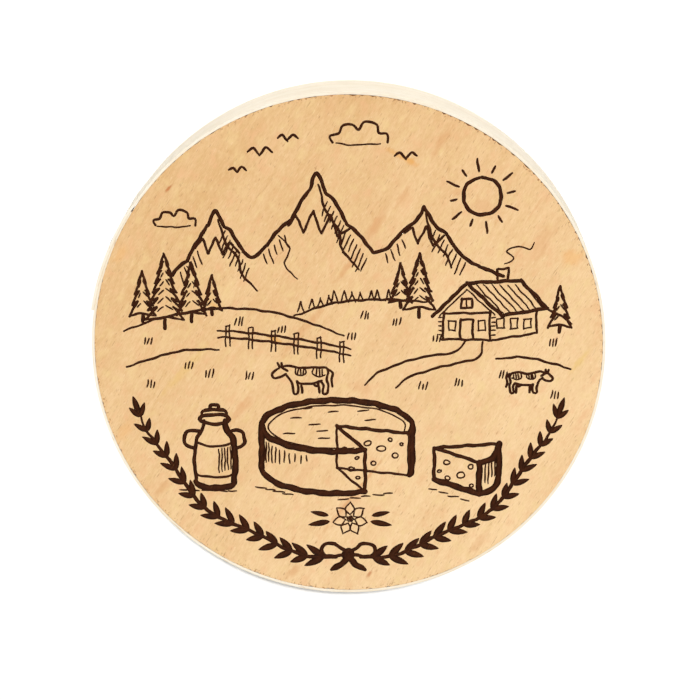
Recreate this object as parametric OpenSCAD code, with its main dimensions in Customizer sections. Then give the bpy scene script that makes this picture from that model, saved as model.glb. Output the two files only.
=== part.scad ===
// Round cheese box of peeled veneer: a base and a slip-over lid. Each half is a flat disc
// with a toothed edge, held in a thin strip that is wound once round it, lapped and stapled.
// Millimetres. +Z is up, and the origin is the middle of the base's underside.

/* [Box] */
// Outside diameter of the lid, measured on its band away from the lap
lid_outer_d = 115; // [90:0.5:150]
// Height of the closed box
closed_h = 33; // [28:0.5:45]
// Height of the lid's band
lid_band_h = 20; // [14:0.5:24]
// Least gap between the lid and whatever stands out furthest on the base's band
slip_gap = 0.3; // [0.2:0.05:1]

/* [Veneer] */
// Thickness of the two discs
disc_t = 1.8; // [1.2:0.1:2.4]
// Thickness of the two bands
band_t = 0.6; // [0.55:0.05:1]

/* [Lap] */
// Length over which a band's two ends lie on each other
lap_len = 24; // [16:1:36]
// Thickness left at the tip of the skived inner end
inner_tip_t = 0.25; // [0.15:0.01:0.4]
// Length by which the skived face shows past the outer end
skive_show = 2; // [1:0.5:4]
// Thickness of the glue line in the lap
glue_t = 0.06; // [0.04:0.01:0.1]
// Direction of the lid's inner tip, in degrees from +X
lid_lap_angle = 147.5; // [0:0.5:359]
// How far round from the lid's lap the base's lap stands, in degrees
lap_apart = 140; // [60:1:300]

/* [Disc edge] */
// Number of notches that leave the teeth round each disc
notch_n = 176; // [100:2:200]
// Width of a notch at the disc's edge
notch_w = 0.8; // [0.4:0.05:1]
// Depth of a notch
notch_depth = 0.4; // [0.2:0.05:0.8]

/* [Staples] */
// Thickness of the flat staple wire
wire_t = 0.45; // [0.35:0.05:0.45]
// Width of the flat staple wire
wire_w = 0.7; // [0.5:0.05:0.9]
// Distance between a staple's two legs
leg_spacing = 8; // [6:0.5:9]
// Inner radius of the wire's bends
bend_inner_r = 0.1; // [0.06:0.01:0.15]
// Gap between the two bent-over tips
tip_gap = 2.4; // [1:0.1:4]
// Height by which a crown stands out of the veneer it is pressed into
crown_proud = 0.2; // [0.18:0.01:0.3]
// Height by which the bent-over tips stand out inside
clinch_proud = 0.35; // [0.3:0.01:0.4]
// Clearance of the wire in the veneer that it pierces
wire_play = 0.02; // [0.01:0.01:0.04]
// Distance of a base staple's legs from the base's disc, and from the rim
staple_margin = 2; // [1:0.5:3]

/* [Hidden] */

$fn = 180;
bend_fn = 32;

// Bench order, from the table up
lid_disc_z = closed_h - disc_t;
lid_band_z = closed_h - lid_band_h;
base_band_h = lid_disc_z;

// Extra height of the outer layer where it meets the inner tip
tip_ease = 0.02;
// The climb's straight starts this far inside the round, so that the two cross cleanly
climb_dip = 0.01;
wedge_reach = lid_outer_d;
wedge_step = 15;

lid_inner_r = lid_outer_d / 2 - band_t;
base_outer_r = lid_inner_r - slip_gap - crown_proud - lap_bump(lid_inner_r);
base_inner_r = base_outer_r - band_t;
base_lap_angle = lid_lap_angle + lap_apart;

// Where the staples stand: share of the lap's length, and height of their middle
lid_left_share = 0.75;
lid_right_share = 0.4;
base_staple_share = 0.6;
lid_staple_z = (lid_band_z + lid_disc_z) / 2;
base_lower_z = disc_t + staple_margin + leg_spacing / 2;
base_upper_z = base_band_h - staple_margin - leg_spacing / 2;

// Plane geometry
function polar(r, a) = [r * cos(a), r * sin(a)];
// Angle that a length covers on a circle of radius r
function turn(len, r) = len / r * 180 / PI;
// Distance from the origin, in direction a, to a circle of radius r round centre c
function reach(c, r, a) =
    let (along = c.x * cos(a) + c.y * sin(a), across = c.x * sin(a) - c.y * cos(a))
    along + sqrt(r * r - across * across);
// Centre of the circle of radius r through p and q, on the side of the origin
function centre_through(p, q, r) =
    let (half = (q - p) / 2, run = norm(half), rise = sqrt(r * r - run * run))
    (p + q) / 2 + rise * [-half.y, half.x] / run;

// The skive: a circle from the thin tip of the inner end, at angle 0, to full thickness
function skive_r(r) = r + (inner_tip_t + band_t) / 2;
function skive_centre(r) = centre_through(
    polar(r + inner_tip_t, 0),
    polar(r + band_t, turn(lap_len + skive_show, r)),
    skive_r(r)
);

// The climb: pulled tight, the band leaves the disc on a straight and meets the inner
// tip's outer corner. Angle from where it leaves, at radius r, to the tip.
function climb_a(r) = acos((r - climb_dip) / (r + inner_tip_t + glue_t + tip_ease));

// Outside of the outer end, seen from the box's axis at angle a past the inner tip
function lap_outside(r, a) = reach(skive_centre(r), skive_r(r) + glue_t + band_t, a);
function lap_bump(r) = lap_outside(r, turn(lap_len, r)) - r - band_t;

// A pie slice of the plane from angle a0 to angle a1, wide enough for either half
module wedge(a0, a1) {
    steps = ceil((a1 - a0) / wedge_step);
    polygon(concat(
        [[0, 0]],
        [for (i = [0 : steps]) polar(wedge_reach, a0 + (a1 - a0) * i / steps)]
    ));
}

module circle_at(centre, r) {
    translate(centre) circle(r = r);
}

// Everything inside the outer layer, where it climbs and laps. With extra = band_t it
// is everything inside the layer's outer face.
module inside_outer_layer(r, extra) {
    intersection() {
        circle_at(skive_centre(r), skive_r(r) + glue_t + extra);
        rotate(-climb_a(r))
            translate([r + extra - climb_dip - wedge_reach, -wedge_reach])
                square([wedge_reach, 2 * wedge_reach]);
        wedge(-climb_a(r), turn(lap_len + skive_show, r));
    }
}

// Outline of a strip wound once round a disc of radius r, its inner tip at angle 0
module band_outline(r) {
    lap_a = turn(lap_len, r);
    past_a = turn(lap_len + 2 * skive_show, r);
    difference() {
        union() {
            circle(r = r + band_t);
            inside_outer_layer(r, band_t);
        }
        circle(r = r);
        difference() {
            union() {
                inside_outer_layer(r, 0);
                // The outer end is cut off square
                wedge(lap_a, past_a);
            }
            // The skived inner end stays
            intersection() {
                circle_at(skive_centre(r), skive_r(r));
                wedge(0, past_a + wedge_step);
            }
        }
    }
}

// Disc of radius r whose notched edge leaves teeth that bear on the band
module toothed_disc(r) {
    pitch = 360 / notch_n;
    // Notches are cut from a little outside the edge, so they widen past it
    overcut = notch_depth / 2;
    half_w = notch_w / 2 * (1 + overcut / notch_depth);
    linear_extrude(disc_t)
        difference() {
            circle(r = r);
            for (i = [0 : notch_n - 1])
                rotate((i + 0.5) * pitch)
                    polygon([
                        [r - notch_depth, 0],
                        [r + overcut, half_w],
                        [r + overcut, -half_w]
                    ]);
        }
}

// Rectangle with round corners, its middle at the origin
module round_rectangle(size, r) {
    square([size.x - 2 * r, size.y], center = true);
    square([size.x, size.y - 2 * r], center = true);
    for (x = [-1, 1], y = [-1, 1])
        translate([x * (size.x / 2 - r), y * (size.y / 2 - r)])
            circle(r = r, $fn = bend_fn);
}

// A clinched staple of flat wire, X pointing out of the box and Z along the crown.
// The legs' depth is measured between the outer faces of crown and clinch.
module staple(depth, play) {
    outer = [depth + 2 * play, leg_spacing + wire_t + 2 * play];
    inner = outer - 2 * (wire_t + 2 * play) * [1, 1];
    rotate([90, 0, 0])
        linear_extrude(wire_w + 2 * play, center = true)
            difference() {
                round_rectangle(outer, bend_inner_r + wire_t + play);
                round_rectangle(inner, bend_inner_r - play);
                translate([-depth, play - tip_gap / 2])
                    square([depth, tip_gap - 2 * play]);
            }
}

// A staple where it stands in the lap of a band of inner radius r
module lap_staple(r, share, z, play = 0) {
    a = turn(share * lap_len, r);
    crown_x = lap_outside(r, a) + crown_proud;
    clinch_x = r - clinch_proud;
    rotate(a)
        translate([(crown_x + clinch_x) / 2, 0, z])
            staple(crown_x - clinch_x, play);
}

module base_disc() {
    color("burlywood") toothed_disc(base_inner_r);
}

module base_band() {
    color("antiquewhite")
        rotate(base_lap_angle)
            difference() {
                linear_extrude(base_band_h) band_outline(base_inner_r);
                for (z = [base_lower_z, base_upper_z])
                    lap_staple(base_inner_r, base_staple_share, z, wire_play);
            }
}

module base_staple(z) {
    color("silver") rotate(base_lap_angle) lap_staple(base_inner_r, base_staple_share, z);
}

module lid_disc() {
    color("burlywood") translate([0, 0, lid_disc_z]) toothed_disc(lid_inner_r);
}

module lid_band() {
    color("antiquewhite")
        rotate(lid_lap_angle)
            difference() {
                translate([0, 0, lid_band_z])
                    linear_extrude(lid_band_h) band_outline(lid_inner_r);
                for (share = [lid_left_share, lid_right_share])
                    lap_staple(lid_inner_r, share, lid_staple_z, wire_play);
            }
}

module lid_staple(share) {
    color("silver") rotate(lid_lap_angle) lap_staple(lid_inner_r, share, lid_staple_z);
}

base_disc();
base_band();
base_staple(base_lower_z);  // base_staple_lower
base_staple(base_upper_z);  // base_staple_upper
lid_disc();
lid_band();
lid_staple(lid_left_share);  // lid_staple_left
lid_staple(lid_right_share);  // lid_staple_right
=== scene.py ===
"""Round veneer cheese box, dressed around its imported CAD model.

Two wooden discs with nicked edges sit in two wound, skived and stapled bands. The lid's
face carries a line drawing of an alpine pasture over a still life of cheese.
Lengths in the classes are millimetres; Blender's are metres.
"""

import logging
import math
import random
from collections.abc import Callable, Iterator, Sequence
from contextlib import contextmanager
from dataclasses import dataclass, field
from enum import Enum
from typing import Any

import bpy
from mathutils import Matrix, Vector


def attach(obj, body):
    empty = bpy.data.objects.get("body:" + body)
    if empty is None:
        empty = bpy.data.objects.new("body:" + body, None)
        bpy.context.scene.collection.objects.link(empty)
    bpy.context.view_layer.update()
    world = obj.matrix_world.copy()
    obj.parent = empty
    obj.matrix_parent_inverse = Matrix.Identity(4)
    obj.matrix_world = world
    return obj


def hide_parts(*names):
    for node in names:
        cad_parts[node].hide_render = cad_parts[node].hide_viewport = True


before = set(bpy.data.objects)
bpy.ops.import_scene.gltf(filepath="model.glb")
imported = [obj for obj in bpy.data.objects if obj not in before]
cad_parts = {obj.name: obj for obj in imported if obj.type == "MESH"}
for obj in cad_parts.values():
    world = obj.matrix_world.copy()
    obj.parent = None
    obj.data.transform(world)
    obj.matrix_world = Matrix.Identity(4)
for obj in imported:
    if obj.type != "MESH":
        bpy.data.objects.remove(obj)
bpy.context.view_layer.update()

MM = 0.001
FLAT_PLACE = "laid_flat"
WHITE = (1.0, 1.0, 1.0, 1.0)

log = logging.getLogger("cheese_box")

Piece = bpy.types.Object
Colour = tuple[int, int, int]
Point = tuple[float, float]
Stroke = list[tuple[float, float, float]]
Tint = Colour | bpy.types.NodeSocket


@dataclass(frozen=True)
class BoxSizes:
    """The box's driving sizes, in millimetres and degrees, as the CAD has them."""

    lid_outer_r: float = 57.5
    closed_h: float = 33.0
    lid_band_h: float = 20.0
    slip_gap: float = 0.3
    disc_t: float = 1.8
    band_t: float = 0.6
    crown_proud: float = 0.2
    leg_spacing: float = 8.0
    wire_t: float = 0.45
    staple_margin: float = 2.0
    lid_lap_deg: float = 147.5
    lap_apart_deg: float = 140.0
    # How far the outer end of the lap stands out past the round of its band
    lap_bump: float = 0.6335
    # Where the staples stand, as shares of the lap's length
    lid_staple_shares: Point = (0.75, 0.4)
    base_staple_share: float = 0.6

    @property
    def lid_inner_r(self) -> float:
        """Inner radius of the lid's band, where its disc sits."""
        return self.lid_outer_r - self.band_t

    @property
    def base_inner_r(self) -> float:
        """Inner radius of the base's band."""
        return self.lid_inner_r - self.slip_gap - self.crown_proud - self.lap_bump - self.band_t

    @property
    def lid_disc_z(self) -> float:
        """Height of the lid disc's underside, which is the base band's top."""
        return self.closed_h - self.disc_t

    @property
    def lid_band_z(self) -> float:
        """Height of the lower edge of the lid's band."""
        return self.closed_h - self.lid_band_h

    @property
    def crown_len(self) -> float:
        """Length of a staple's crown."""
        return self.leg_spacing + self.wire_t

    @property
    def lid_staples(self) -> tuple[Point, ...]:
        """Share of the lap and height of each staple of the lid."""
        return tuple((share, (self.lid_band_z + self.lid_disc_z) / 2) for share in self.lid_staple_shares)

    @property
    def base_staples(self) -> tuple[Point, ...]:
        """Share of the lap and height of each staple of the base."""
        inset = self.staple_margin + self.leg_spacing / 2
        return tuple((self.base_staple_share, z) for z in (self.disc_t + inset, self.lid_disc_z - inset))


# Bench tools


def linear(channel: float) -> float:
    """A screen channel from 0 to 255 as a linear one from 0 to 1."""
    c = channel / 255
    return c / 12.92 if c <= 0.04045 else ((c + 0.055) / 1.055) ** 2.4


def rgba(colour: Colour) -> tuple[float, float, float, float]:
    """A screen colour as a linear one with full alpha."""
    return (linear(colour[0]), linear(colour[1]), linear(colour[2]), 1.0)


def polar(radius: float, degrees: float) -> Point:
    """The point at a radius and an angle."""
    return (radius * math.cos(math.radians(degrees)), radius * math.sin(math.radians(degrees)))


def run_of(path: Sequence[Point]) -> float:
    """The length of a path."""
    return sum(math.dist(a, b) for a, b in zip(path, path[1:]))


def take(piece: Piece) -> Piece:
    """Select one piece alone and make it the active one.

    Args:
        piece: The piece.

    Returns:
        The same piece.
    """
    bpy.ops.object.select_all(action="DESELECT")
    piece.select_set(True)
    bpy.context.view_layer.objects.active = piece
    return piece


def fresh(name: str) -> Piece:
    """Name the primitive that was just added.

    Args:
        name: Its name.

    Returns:
        The piece.
    """
    piece = bpy.context.view_layer.objects.active
    piece.name = name
    piece.data.name = name
    return piece


@contextmanager
def shaping(piece: Piece, chosen: Callable[[Vector], bool] | None = None,
            faces: bool = False) -> Iterator[None]:
    """Put a piece in edit mode with some of it selected, and come back after.

    Args:
        piece: The mesh to shape.
        chosen: Says by its place whether a vertex, or a face by its middle, is selected.
            Without it all is selected.
        faces: Whether faces are chosen instead of vertices.

    Yields:
        Nothing, while the piece is in edit mode.
    """
    take(piece)
    bpy.context.tool_settings.mesh_select_mode = (not faces, False, faces)
    mesh = piece.data
    for part in (mesh.vertices, mesh.edges, mesh.polygons):
        part.foreach_set("select", [False] * len(part))
    if chosen is not None:
        if faces:
            for face in mesh.polygons:
                face.select = chosen(face.center)
        else:
            for vertex in mesh.vertices:
                vertex.select = chosen(vertex.co)
    bpy.ops.object.mode_set(mode="EDIT")
    if chosen is None:
        bpy.ops.mesh.select_all(action="SELECT")
    yield
    bpy.ops.object.mode_set(mode="OBJECT")


def settle(piece: Piece) -> Piece:
    """Put a piece's place into its mesh, so that its object sits at the origin.

    Args:
        piece: The piece.

    Returns:
        The same piece.
    """
    take(piece)
    bpy.ops.object.transform_apply(location=True, rotation=True, scale=True)
    return piece


def modify(piece: Piece, kind: str, keep_live: bool = False, **settings: Any) -> None:
    """Add a modifier with its settings, and apply it unless it stays live.

    Args:
        piece: The piece that gets it.
        kind: The modifier's type.
        keep_live: Whether it stays live.
        settings: Its properties.
    """
    take(piece)
    bpy.ops.object.modifier_add(type=kind)
    modifier = piece.modifiers[-1]
    for key, value in settings.items():
        setattr(modifier, key, value)
    if not keep_live:
        bpy.ops.object.modifier_apply(modifier=modifier.name)


def report(piece: Piece) -> None:
    """Log a finished piece and the number of its faces."""
    log.info("%s: %d faces", piece.name, len(piece.data.polygons))


# Shader bench


class Reading:
    """A number that varies over a surface; Python's operators on it add Math nodes."""

    def __init__(self, recipe: "Recipe", socket: bpy.types.NodeSocket) -> None:
        """Wrap an output socket of a recipe's node."""
        self.recipe = recipe
        self.socket = socket

    def __add__(self, other: "Reading | float") -> "Reading":
        """Add."""
        return self.recipe.maths("ADD", self, other)

    __radd__ = __add__

    def __sub__(self, other: "Reading | float") -> "Reading":
        """Take away."""
        return self.recipe.maths("SUBTRACT", self, other)

    def __rsub__(self, other: float) -> "Reading":
        """Take this away from a number."""
        return self.recipe.maths("SUBTRACT", other, self)

    def __mul__(self, other: "Reading | float") -> "Reading":
        """Multiply."""
        return self.recipe.maths("MULTIPLY", self, other)

    __rmul__ = __mul__

    def __truediv__(self, other: "Reading | float") -> "Reading":
        """Divide."""
        return self.recipe.maths("DIVIDE", self, other)

    def between(self, low: float, high: float) -> "Reading":
        """Climb smoothly from 0 at low to 1 at high."""
        node = self.recipe.node(
            "ShaderNodeMapRange",
            {"interpolation_type": "SMOOTHSTEP"},
            {"Value": self, "From Min": low, "From Max": high},
        )
        return Reading(self.recipe, node.outputs[0])

    def held(self) -> "Reading":
        """Keep between 0 and 1."""
        return self.recipe.maths("MINIMUM", self.recipe.maths("MAXIMUM", self, 0.0), 1.0)


class Recipe:
    """The nodes of one material, or of the sky."""

    def __init__(self, host: bpy.types.Material | bpy.types.World) -> None:
        """Start with no nodes.

        Args:
            host: The new material or world that gets them.
        """
        self.host = host
        host.use_nodes = True
        self.tree = host.node_tree
        self.tree.nodes.clear()

    def node(self, kind: str, settings: dict[str, Any] | None = None,
             inputs: dict[str | int, Any] | None = None) -> bpy.types.Node:
        """Add a node.

        Args:
            kind: The node's type.
            settings: Its properties, which are set first.
            inputs: Values or links of its sockets, by identifier, name or number.

        Returns:
            The node.
        """
        node = self.tree.nodes.new(kind)
        for key, value in (settings or {}).items():
            setattr(node, key, value)
        by_identifier = {socket.identifier: socket for socket in node.inputs}
        for key, value in (inputs or {}).items():
            socket = by_identifier.get(key) or node.inputs[key]
            if isinstance(value, Reading):
                value = value.socket
            if isinstance(value, bpy.types.NodeSocket):
                self.tree.links.new(value, socket)
            else:
                socket.default_value = value
        return node

    def maths(self, operation: str, *values: Reading | float) -> Reading:
        """Add a Math node."""
        return Reading(self, self.node("ShaderNodeMath", {"operation": operation},
                                       dict(enumerate(values))).outputs[0])

    def millimetres(self, turn: float = 0.0) -> bpy.types.NodeSocket:
        """Object coordinates in millimetres, turned so that X runs along a grain."""
        place = self.node("ShaderNodeTexCoord").outputs["Object"]
        return self.node("ShaderNodeMapping", None, {
            "Vector": place, "Rotation": (0, 0, -math.radians(turn)), "Scale": (1 / MM, 1 / MM, 1 / MM),
        }).outputs[0]

    def laid_flat(self) -> bpy.types.NodeSocket:
        """Place on a band before it was wound, in millimetres."""
        return self.node("ShaderNodeAttribute", {"attribute_name": FLAT_PLACE}).outputs["Vector"]

    def split(self, vector: bpy.types.NodeSocket) -> tuple[Reading, Reading, Reading]:
        """A vector's three numbers."""
        outputs = self.node("ShaderNodeSeparateXYZ", None, {0: vector}).outputs
        return Reading(self, outputs[0]), Reading(self, outputs[1]), Reading(self, outputs[2])

    def noise(self, place: bpy.types.NodeSocket, size: tuple[float, float, float], seed: float,
              detail: float = 2.0, roughness: float = 0.5, distortion: float = 0.0) -> Reading:
        """Soft noise about 0, mostly within half of it.

        Args:
            place: Where it is read, in millimetres.
            size: Size of its grains, in millimetres.
            seed: Moves the pattern elsewhere.
            detail: Number of finer layers.
            roughness: Weight of the finer layers.
            distortion: How much the pattern is stirred.

        Returns:
            The noise.
        """
        stretched = self.node("ShaderNodeMapping", None, {
            "Vector": place,
            "Location": (seed * 7.3, seed * 3.1, seed * 5.7),
            "Scale": tuple(1 / s for s in size),
        }).outputs[0]
        made = self.node("ShaderNodeTexNoise", None, {
            "Vector": stretched, "Scale": 1.0, "Detail": detail, "Roughness": roughness,
            "Distortion": distortion,
        })
        return (Reading(self, made.outputs["Fac"]) - 0.5) * 2.0

    def mix(self, share: Reading | float, first: Tint, second: Tint) -> bpy.types.NodeSocket:
        """Mix two colours.

        Args:
            share: The second colour's share, from 0 to 1.
            first: A screen colour or a link.
            second: A screen colour or a link.

        Returns:
            The mixed colour.
        """
        a, b = (rgba(tint) if isinstance(tint, tuple) else tint for tint in (first, second))
        node = self.node("ShaderNodeMix", {"data_type": "RGBA", "clamp_factor": True},
                         {"Factor_Float": share, "A_Color": a, "B_Color": b})
        return next(socket for socket in node.outputs if socket.identifier == "Result_Color")

    def bump(self, height: Reading, depth: float, strength: float = 1.0) -> bpy.types.NodeSocket:
        """A normal bumped by a height from 0 to 1, of a depth in millimetres."""
        return self.node("ShaderNodeBump", None, {
            "Strength": strength, "Distance": depth * MM, "Height": height,
        }).outputs[0]

    def finished(self, **sockets: Any) -> bpy.types.Material:
        """Close the material with a Principled shader.

        Args:
            sockets: Values or links of its sockets, by name, with _ for a space.

        Returns:
            The material.
        """
        shader = self.node("ShaderNodeBsdfPrincipled", None,
                           {key.replace("_", " "): value for key, value in sockets.items()})
        self.node("ShaderNodeOutputMaterial", None, {"Surface": shader.outputs[0]})
        return self.host


# Finishes


class Stain(Enum):
    """Tones that stain the wood, as screen colours."""

    BROWN = (218, 156, 100)
    SOFT_BROWN = (226, 172, 120)
    RUST = (230, 164, 76)
    FLECK = (190, 108, 50)
    ORANGE = (240, 178, 108)
    OCHRE = (234, 194, 116)


def fibres_of(r: Recipe, wood: bpy.types.NodeSocket, seed: float) -> Reading:
    """The short fibres of the discs' wood, which the ink follows."""
    return r.noise(wood, (1.1, 0.19, 1.1), seed, 3.0, 0.7)


def pores_of(r: Recipe, wood: bpy.types.NodeSocket, seed: float) -> Reading:
    """The fine pores of the discs' wood, which the ink skips: 1 in a pore."""
    return r.noise(wood, (1.7, 0.22, 1.5), seed + 4, 1.0).between(0.36, 0.52)


@dataclass(frozen=True)
class Mark:
    """A soft spot in the wood, drawn out along one direction."""

    x: float
    y: float
    angle: float
    length: float
    width: float
    stain: Stain
    strength: float


@dataclass(frozen=True)
class PeeledVeneer:
    """Peeled poplar as on the discs: short fine pores along the grain, tone and flecks.

    The tone drifts over the disc by so much a millimetre, along X and along Y. With a rim,
    the disc's radius, specks of torn grain show inside the edge.
    """

    name: str
    grain: float
    seed: float
    pale: Colour = (248, 212, 162)
    deep: Colour = (222, 176, 118)
    pore: Colour = (176, 122, 76)
    rosy: Colour = (236, 182, 132)
    straw: Colour = (240, 208, 146)
    glint: Colour = (255, 228, 186)
    flamed: Colour = (214, 156, 104)
    frayed: Colour = (162, 98, 46)
    marks: tuple[Mark, ...] = ()
    drift: tuple[float, float] = (0.0, 0.0)
    rim: float = 0.0

    def material(self) -> bpy.types.Material:
        """Mix the finish.

        Returns:
            The material.
        """
        r = Recipe(bpy.data.materials.new(self.name))
        wood = r.millimetres(self.grain)
        fibres = fibres_of(r, wood, self.seed)
        combing = r.noise(wood, (7.0, 0.6, 3.0), self.seed + 1, 2.0)
        mottle = r.noise(wood, (1.7, 1.1, 1.5), self.seed + 8, 3.0, 0.6)
        clouds = r.noise(wood, (20.0, 7.0, 20.0), self.seed + 2, 2.0)
        streaks = r.noise(wood, (60.0, 1.9, 30.0), self.seed + 3, 3.0, 0.6, 0.3)
        x, y, _ = r.split(r.millimetres())
        tone = (0.5 + 0.6 * fibres + 0.12 * combing + 0.3 * mottle + 0.3 * clouds + 0.24 * streaks
                + self.drift[0] * x + self.drift[1] * y)
        colour = r.mix(tone.held(), self.deep, self.pale)
        pores = pores_of(r, wood, self.seed)
        colour = r.mix(pores * 0.6, colour, self.pore)
        glints = r.noise(wood, (1.7, 0.22, 1.5), self.seed + 6, 1.0).between(0.38, 0.54)
        colour = r.mix(glints * 0.5, colour, self.glint)
        hue = r.noise(wood, (3.4, 2.6, 3.0), self.seed + 10, 2.0, 0.6)
        colour = r.mix(hue.between(0.0, 0.6) * 0.55, colour, self.rosy)
        colour = r.mix((0.0 - hue).between(0.0, 0.6) * 0.55, colour, self.straw)
        flame = r.noise(wood, (34.0, 3.2, 30.0), self.seed + 5, 3.0, 0.55, 0.4).between(0.22, 0.75)
        colour = r.mix(flame * 0.25, colour, self.flamed)
        if self.rim:
            colour = r.mix(self._torn(r) * 0.8, colour, self.frayed)
        for mark in self.marks:
            colour = r.mix(self._mask(r, mark, mottle), colour, mark.stain.value)
        height = (0.7 + 0.3 * fibres - 0.6 * pores + 0.2 * combing).held()
        return r.finished(
            Base_Color=colour,
            Roughness=(0.62 + 0.08 * combing - 0.05 * clouds).held(),
            Normal=r.bump(height, 0.03, 0.8),
            Specular_IOR_Level=0.32,
        )

    def _torn(self, r: Recipe) -> Reading:
        """Specks of torn grain just inside the edge, where it runs across the fibres.

        Args:
            r: The material's recipe.

        Returns:
            1 in a speck.
        """
        place = r.millimetres(self.grain)
        along, across, _ = r.split(place)
        reach = r.maths("SQRT", along * along + across * across)
        near = reach.between(self.rim - 1.1, self.rim - 0.35)
        crossing = r.maths("ABSOLUTE", along / self.rim).between(0.15, 0.8)
        return near * crossing * r.noise(place, (0.6, 0.45, 0.8), self.seed + 9, 1.0).between(0.22, 0.42)

    @staticmethod
    def _mask(r: Recipe, mark: Mark, mottle: Reading) -> Reading:
        """Where a mark shows.

        Args:
            r: The material's recipe.
            mark: The mark.
            mottle: Noise that makes its outline uneven.

        Returns:
            A reading from 0 to the mark's strength.
        """
        place = r.node("ShaderNodeTexCoord").outputs["Object"]
        local = r.node("ShaderNodeMapping", {"vector_type": "TEXTURE"}, {
            "Vector": place,
            "Location": (mark.x * MM, mark.y * MM, 0),
            "Rotation": (0, 0, math.radians(mark.angle)),
            "Scale": (mark.length / 2 * MM, mark.width / 2 * MM, 1.0),
        }).outputs[0]
        length = r.node("ShaderNodeVectorMath", {"operation": "LENGTH"}, {0: local})
        reach = Reading(r, length.outputs["Value"])
        return (1.0 - (reach + 0.5 * mottle).between(0.2, 1.0)) * mark.strength


@dataclass(frozen=True)
class SawnEdge:
    """The nicked edge of a disc: short dark end grain, its deep brown also painted shade for the notches'
    walls.
    """

    name: str = "disc_edge"
    pale: Colour = (206, 146, 86)
    # Dark enough to stand for the shade in the notches as well as the end grain
    deep: Colour = (128, 74, 34)

    def material(self) -> bpy.types.Material:
        """Mix the finish.

        Returns:
            The material.
        """
        r = Recipe(bpy.data.materials.new(self.name))
        place = r.millimetres()
        blotch = r.noise(place, (0.8, 0.8, 0.8), 3.0, 2.0)
        plies = r.noise(place, (4.0, 4.0, 0.25), 5.0, 2.0)
        colour = r.mix((0.4 + 0.8 * blotch + 0.4 * plies).held(), self.deep, self.pale)
        return r.finished(Base_Color=colour, Roughness=(0.8 + 0.1 * blotch).held(),
                          Normal=r.bump((0.5 + plies).held(), 0.03), Specular_IOR_Level=0.25)


@dataclass(frozen=True)
class BandVeneer:
    """Thin pale poplar of the bands, its grain along the strip, pressed in under its staples, where painted
    shade darkens the dents.
    """

    name: str
    seed: float
    pale: Colour = (254, 245, 227)
    deep: Colour = (240, 222, 190)
    pore: Colour = (208, 176, 134)
    flamed: Colour = (222, 188, 140)
    # Painted shade for the dents round the staples' crowns
    dent_shade: Colour = (178, 146, 104)
    dent_w: float = 0.8

    def material(self, dents: Sequence[Point], dent_len: float) -> bpy.types.Material:
        """Mix the finish.

        Args:
            dents: Middles of the staples on the flat strip, along it and up.
            dent_len: Length of a staple's crown.

        Returns:
            The material.
        """
        r = Recipe(bpy.data.materials.new(self.name))
        strip = r.laid_flat()
        fibres = r.noise(strip, (4.0, 0.6, 0.17), self.seed, 2.0)
        lines = r.noise(strip, (60.0, 3.0, 0.6), self.seed + 1, 3.0, 0.6, 0.2)
        clouds = r.noise(strip, (24.0, 4.0, 6.0), self.seed + 2, 2.0)
        tone = 0.6 + 0.6 * fibres + 0.6 * lines + 0.4 * clouds
        colour = r.mix(tone.held(), self.deep, self.pale)
        pores = r.noise(strip, (2.6, 0.5, 0.17), self.seed + 4, 1.0).between(0.32, 0.6)
        colour = r.mix(pores * 0.55, colour, self.pore)
        flame = r.noise(strip, (48.0, 3.0, 2.2), self.seed + 5, 3.0, 0.6, 0.5).between(0.2, 0.7)
        colour = r.mix(flame * 0.38, colour, self.flamed)
        height = 0.5 + 0.8 * fibres - 0.6 * pores + 0.4 * lines
        for dent in dents:
            pressed = self._pressed(r, strip, dent, dent_len)
            # Painted shade: the wood round each crown is darkened in colour as well as bumped in
            colour = r.mix(pressed * 0.42, colour, self.dent_shade)
            height = height - 2.0 * pressed
        return r.finished(
            Base_Color=colour,
            Roughness=(0.6 + 0.08 * lines).held(),
            Normal=r.bump(height, 0.03, 0.8),
            Specular_IOR_Level=0.3,
        )

    def _pressed(self, r: Recipe, strip: bpy.types.NodeSocket, dent: Point, length: float) -> Reading:
        """Where the wood is pressed in round a staple's crown, which is bumped in and darkened with painted
        shade.

        Args:
            r: The material's recipe.
            strip: Place on the flat strip.
            dent: Middle of the staple.
            length: Length of its crown.

        Returns:
            1 under the crown, falling to 0 beside it.
        """
        x, _, z = r.split(strip)
        beside = (x - dent[0]) / self.dent_w
        end = length / 2 - 0.3
        past = r.maths("MAXIMUM", (r.maths("ABSOLUTE", z - dent[1]) - end) / self.dent_w, 0.0)
        reach = r.maths("SQRT", beside * beside + past * past)
        return 1.0 - reach.between(0.35, 1.25)


@dataclass(frozen=True)
class DriedGlue:
    """Dried wood glue, a little yellow."""

    name: str = "dried_glue"
    pale: Colour = (244, 230, 196)
    deep: Colour = (214, 190, 144)

    def material(self) -> bpy.types.Material:
        """Mix the finish.

        Returns:
            The material.
        """
        r = Recipe(bpy.data.materials.new(self.name))
        lumps = r.noise(r.millimetres(), (0.7, 0.7, 0.7), 4.0, 2.0)
        colour = r.mix((0.5 + 0.8 * lumps).held(), self.deep, self.pale)
        return r.finished(Base_Color=colour, Roughness=(0.45 + 0.2 * lumps).held(),
                          Normal=r.bump((0.5 + lumps).held(), 0.02))


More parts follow.
